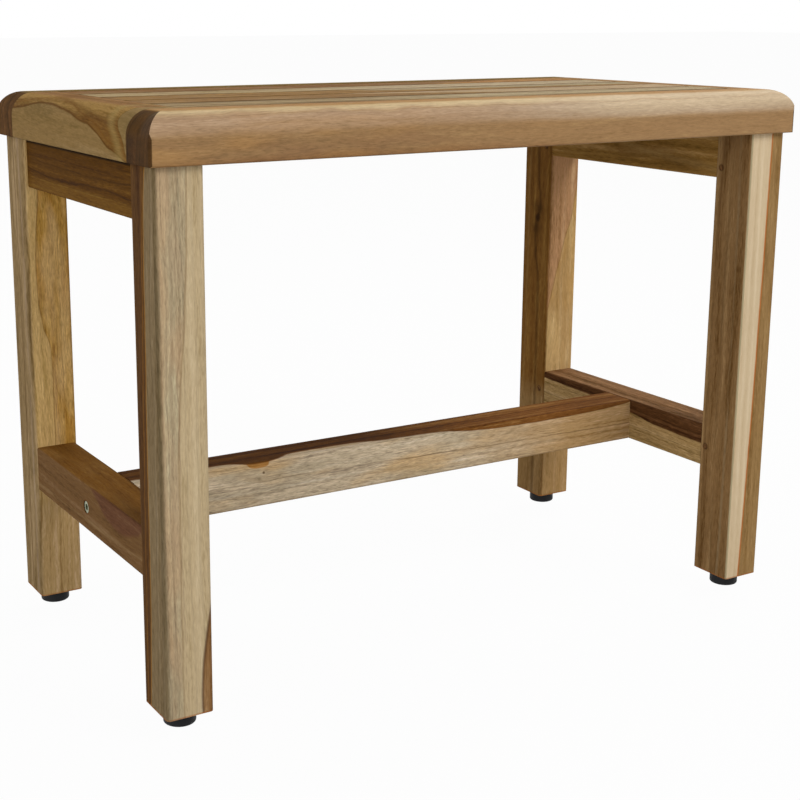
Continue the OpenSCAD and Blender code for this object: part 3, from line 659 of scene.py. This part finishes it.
# Long stretcher: pale sapwood with grey dashes, golden toward the right, under a dark heart that dips over
# its front edge, with a small knot below it
HEART_EDGE = [(-19, 145.1), (16, 144.6), (62, 140.7), (80, 139.1), (120, 137.6), (183, 137.7), (215, 138.6),
              (262, 142)]
long_teak = teak(
    "teak_long_stretcher", "x", TONES["long_pale"], pith=(120, 330), seed=15.3, tilt=(0.4, 0.4), ring=5,
    contrast=1.2, streak=0.52, sway=2.0, blooms=[("#c29c66", 0.6), ("#8d8066", 0.45)], end_tone="#5a3a1e",
    spots=[
        spot((-143.8, -18, 140.9), size=1.1, soft=0.6, tone="#4a3018", amount=0.8),
        spot((-147.8, -18, 135.2), size=1.6, soft=1.2, tone="#6a5a44", amount=0.4)],
    zones=[
        zone(TONES["long_golden"], edge(X, 120, soft=90, wobble=30), calm=0.5),
        zone(TONES["long_knot"],
             edge((0, 0.4, 1),
                  [(-262, 160), (-175, 160), (-160, 143), (-147.5, 138.2), (-139, 140), (-128, 160),
                   (262, 160)], along=X, soft=0.5, wobble=0.2), calm=0.6),
        zone(TONES["long_dark_left"],
             edge((0, 0.4, 1),
                  [(-262, 146.5), (-184, 147), (-165, 144.5), (-147.5, 142.6), (-135, 143.5), (-123, 145.4),
                   (-107, 147.4), (-50, 147.3), *HEART_EDGE], along=X, soft=0.5, wobble=0.5,
                  rim=("#6e4420", 0.9, 0.7))),
        zone(TONES["long_dark_right"],
             edge((0, 0.4, 1), [(-262, 148), (-50, 148), *[(at, value + 0.5) for at, value in HEART_EDGE]],
                  along=X, soft=0.5, wobble=0.5),
             edge(X, 20, soft=60, wobble=20))],
    lines=[
        line(Z, [(-262, 131), (-100, 133), (60, 130), (262, 128)], "#5f4a30", width=1.0, amount=0.6, along=X,
             wobble=0.8, broken=True),
        line(Z, [(-262, 124), (0, 126), (262, 121)], "#8b7f6c", width=3.4, amount=0.35, along=X, wobble=1.2,
             broken=True),
        line(Z, [(-262, 112.5), (262, 112.5)], "#7c6240", width=1.6, amount=0.5, along=X, wobble=0.3)])

WOOD = {
    "seat_rail_front": rail_teak, "seat_rail_back": back_rail_teak,
    "seat_end_rail_left": left_end_teak, "seat_end_rail_right": right_end_teak,
    "seat_batten": batten_teak,
    "leg_front_left": leg_fl_teak, "leg_front_right": leg_fr_teak,
    "leg_back_left": leg_bl_teak, "leg_back_right": leg_br_teak,
    "apron_left": apron_l_teak, "apron_right": apron_r_teak,
    "end_stretcher_left": stretcher_l_teak, "end_stretcher_right": stretcher_r_teak,
    "long_stretcher": long_teak,
}
for number, material in slat_teak.items():
    WOOD[f"seat_slat_{number}"] = material
for node_name, material in WOOD.items():
    nodes[node_name].material_slots[0].material = material


# ---------- pegs, metal and plastic ----------

def solid_finish(name, tones, rough, metallic, cloud_mm, relief_mm, relief=0.3, specular=0.5):
    """A metal's or plastic's surface: clouds of two tones, the second one duller, over a fine relief."""
    material, tree = new_material(name)
    point_mm = surface_point(tree)
    clouds = add(tree, "TexNoise", {"Vector": point_mm, "Scale": 1 / cloud_mm, "Detail": 4.0,
                                    "Roughness": 0.6})
    clouds = between(tree, clouds, 0.35, 0.65)
    colour = blend(tree, clouds, linear(tones[0]), linear(tones[1]))
    dullness = between(tree, clouds, 0.0, 1.0, rough[0], rough[1])
    grain = add(tree, "TexNoise", {"Vector": point_mm, "Scale": 1 / relief_mm, "Detail": 2.0})
    normal = add(tree, "Bump", {"Strength": relief, "Distance": 0.1 * MM, "Height": grain})
    shader = add(tree, "BsdfPrincipled", {"Base Color": colour, "Roughness": dullness, "Metallic": metallic,
                                          "Specular IOR Level": specular, "Normal": normal})
    finish_surface(tree, shader)
    return material


# Turned teak pegs: only their ends show, as dark end grain with open pores
peg_teak = teak("teak_pegs", "x", ("#4a3018", "#6b4a2a", "#83603a"), pith=(20, 300), seed=21, ring=2,
                streak=0.8, end_tone="#63452a")
# Zinc plate, clear passivated: a pale grey with a greenish cast, satin, clouded by handling
zinc = solid_finish("zinc_plated_steel", ("#a3a88c", "#8c917a"), rough=(0.32, 0.5), metallic=1.0,
                    cloud_mm=3.0, relief_mm=0.25, relief=0.15)
# Turned brass, a little tarnished
brass = solid_finish("turned_brass", ("#b5933f", "#8a6a2c"), rough=(0.3, 0.5), metallic=1.0,
                     cloud_mm=2.5, relief_mm=0.3, relief=0.15)
# Moulded nylon with a spark-eroded grain: a flat black that takes only a soft grey sheen
nylon = solid_finish("moulded_black_nylon", ("#08080a", "#101012"), rough=(0.5, 0.65), metallic=0.0,
                     cloud_mm=5.0, relief_mm=0.35, specular=0.2)

FOOT_X, FOOT_Y = 279, 138
FEET = [(f"{depth}_{side}", x, y) for depth, y in (("front", -FOOT_Y), ("back", FOOT_Y))
        for side, x in (("left", -FOOT_X), ("right", FOOT_X))]
HARDWARE = {
    peg_teak: ["apron_pegs", "stretcher_pegs", "seat_dowels", "stretcher_dowels"],
    zinc: ["batten_screws", "stretcher_bolts", "barrel_nuts", "seat_bolts", "seat_bolt_washers"]
          + [f"foot_stem_{foot}" for foot, x, y in FEET],
    brass: ["seat_inserts", "foot_inserts"],
    nylon: [f"foot_pad_{foot}" for foot, x, y in FEET],
}
for material, node_names in HARDWARE.items():
    for node_name in node_names:
        nodes[node_name].material_slots[0].material = material

# A foot's stem, in mm: its head sits in the pad, and its M8 thread has flattened crests and roots
STEM_FOOT, STEM_TOP = 4.0, 45.0
HEAD_RADIUS, HEAD_HEIGHT, HEAD_ROUNDING = 7.0, 2.5, 0.3
PITCH, CREST, ROOT = 1.25, 3.92, 3.32
CREST_FROM, CREST_TO, ROOT_FROM = 0.5, 0.65, 1.15
THREAD_FROM = STEM_FOOT + 2.0  # inside the head
STEPS_PER_TURN = 28


def close_end(shape, height, keep_below):
    """Cuts a turned shape level at a height and closes the cut."""
    cut = bmesh.ops.bisect_plane(shape, geom=shape.verts[:] + shape.edges[:] + shape.faces[:], dist=1e-7,
                                 plane_co=(0, 0, height), plane_no=(0, 0, 1 if keep_below else -1),
                                 clear_outer=True)
    rim = [item for item in cut["geom_cut"] if isinstance(item, bmesh.types.BMEdge)]
    bmesh.ops.edgeloop_fill(shape, edges=rim)


def add_thread(shape):
    """The rolled thread: one turn's profile, spun upward from below the stem and cut level at both ends."""
    turns = math.ceil((STEM_TOP - STEM_FOOT) / PITCH) + 3
    outline = [(ROOT, 0.0), (CREST, CREST_FROM), (CREST, CREST_TO), (ROOT, ROOT_FROM), (ROOT, PITCH)]
    below = STEM_FOOT - 2 * PITCH
    profile = [shape.verts.new((radius * MM, 0, (below + rise) * MM)) for radius, rise in outline]
    edges = [shape.edges.new(pair) for pair in zip(profile, profile[1:])]
    bmesh.ops.spin(shape, geom=profile + edges, cent=(0, 0, 0), axis=Z, angle=2 * math.pi * turns,
                   dvec=(0, 0, PITCH / STEPS_PER_TURN * MM), steps=turns * STEPS_PER_TURN)
    bmesh.ops.remove_doubles(shape, verts=shape.verts, dist=1e-5)
    close_end(shape, THREAD_FROM * MM, keep_below=False)
    close_end(shape, STEM_TOP * MM, keep_below=True)


def add_head(shape):
    """The stem's round head, with its two rims rounded."""
    head = bmesh.ops.create_cone(shape, cap_ends=True, segments=48, radius1=HEAD_RADIUS * MM,
                                 radius2=HEAD_RADIUS * MM, depth=HEAD_HEIGHT * MM)
    bmesh.ops.translate(shape, verts=head["verts"], vec=(0, 0, (STEM_FOOT + HEAD_HEIGHT / 2) * MM))
    rims = [side for side in {e for v in head["verts"] for e in v.link_edges}
            if side.verts[0].co.z == side.verts[1].co.z]
    bmesh.ops.bevel(shape, geom=rims, offset=HEAD_ROUNDING * MM, segments=2, profile=0.5, affect="EDGES",
                    material=-1)


def make_stem(foot, x, y):
    """A foot's threaded stem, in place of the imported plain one."""
    shape = bmesh.new()
    add_thread(shape)
    add_head(shape)
    bmesh.ops.recalc_face_normals(shape, faces=shape.faces)
    bmesh.ops.translate(shape, verts=shape.verts, vec=(x * MM, y * MM, 0))
    mesh = bpy.data.meshes.new(f"threaded_stem_{foot}")
    shape.to_mesh(mesh)
    shape.free()
    mesh.materials.append(zinc)
    stem = bpy.data.objects.new(f"threaded_stem_{foot}", mesh)
    bpy.context.scene.collection.objects.link(stem)
    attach(stem, f"stem_{foot}")
    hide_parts(f"foot_stem_{foot}")


for foot, x, y in FEET:
    make_stem(foot, x, y)


# ---------- stage, lights and camera ----------

FLOOR_HALF = 30  # metres
FLOOR_DROP = 10.3  # mm, where the feet end when they are screwed right out


def seen_directly(tree, most):
    """most where the camera, a mirror or glass sees the surface, and 0 for the light it gives the bench."""
    path = add(tree, "LightPath").node.outputs
    seen = calc(tree, "MAXIMUM", path["Is Camera Ray"], path["Is Glossy Ray"])
    seen = calc(tree, "MAXIMUM", seen, path["Is Transmission Ray"])
    return calc(tree, "MULTIPLY", seen, most)


def make_floor():
    """A pale floor, white to the camera, that keeps the bench's soft shadow."""
    shape = bmesh.new()
    bmesh.ops.create_grid(shape, x_segments=1, y_segments=1, size=FLOOR_HALF)
    bmesh.ops.translate(shape, verts=shape.verts, vec=(0, 0, -FLOOR_DROP * MM))
    mesh = bpy.data.meshes.new("studio_floor")
    shape.to_mesh(mesh)
    shape.free()
    floor = bpy.data.objects.new("studio_floor", mesh)
    bpy.context.scene.collection.objects.link(floor)
    material, tree = new_material("matt_white_floor")
    plain = add(tree, "BsdfDiffuse", {"Color": linear("#c4c4c2")})
    white = add(tree, "Emission", {"Color": (1, 1, 1, 1), "Strength": 1.0})
    finish_surface(tree, add(tree, "MixShader", {0: seen_directly(tree, 0.97), 1: plain, 2: white}))
    mesh.materials.append(material)


def make_world(level):
    """Even white surroundings: plain white to the eye, dimmer as light."""
    world = bpy.data.worlds.new("white_studio")
    world.use_nodes = True
    tree = world.node_tree
    tree.nodes.clear()
    strength = calc(tree, "ADD", seen_directly(tree, 1 - level), level)
    back = add(tree, "Background", {"Color": (1, 1, 1, 1), "Strength": strength})
    output = tree.nodes.new("ShaderNodeOutputWorld")
    tree.links.new(back, output.inputs["Surface"])
    bpy.context.scene.world = world


def make_softbox(name, at, watts, size):
    """A square softbox that looks at the middle of the bench."""
    lamp = bpy.data.lights.new(name, "AREA")
    lamp.shape = "SQUARE"
    lamp.size = size
    lamp.energy = watts
    box = bpy.data.objects.new(name, lamp)
    bpy.context.scene.collection.objects.link(box)
    box.location = at
    box.rotation_euler = (Vector((0, 0, 0.25)) - Vector(at)).to_track_quat("-Z", "Y").to_euler()


def make_camera(at, turn, tilt, lens, shift):
    """The camera, turned to the right and tilted down by some degrees."""
    data = bpy.data.cameras.new("camera")
    data.lens = lens
    data.sensor_width = 36
    data.shift_x, data.shift_y = shift
    camera = bpy.data.objects.new("camera", data)
    bpy.context.scene.collection.objects.link(camera)
    camera.location = at
    camera.rotation_euler = (math.radians(90 - tilt), 0, math.radians(-turn))
    bpy.context.scene.camera = camera


make_floor()
make_world(level=0.34)
make_softbox("key_high_right", (0.9, -2.2, 2.3), watts=46, size=1.3)
make_softbox("fill_left", (-2.9, -1.4, 0.8), watts=50, size=2.0)
make_softbox("fill_front", (0.6, -3.0, 0.7), watts=12, size=2.0)
make_softbox("sheen_right", (1.6, 0.5, 1.9), watts=18, size=1.0)
make_softbox("back", (-1.5, 2.6, 2.0), watts=22, size=1.4)
make_camera((-0.690, -1.080, 0.5223), turn=30.0, tilt=12.637, lens=66.10, shift=(0.085, -0.0731))
bpy.context.scene.view_settings.view_transform = "Standard"
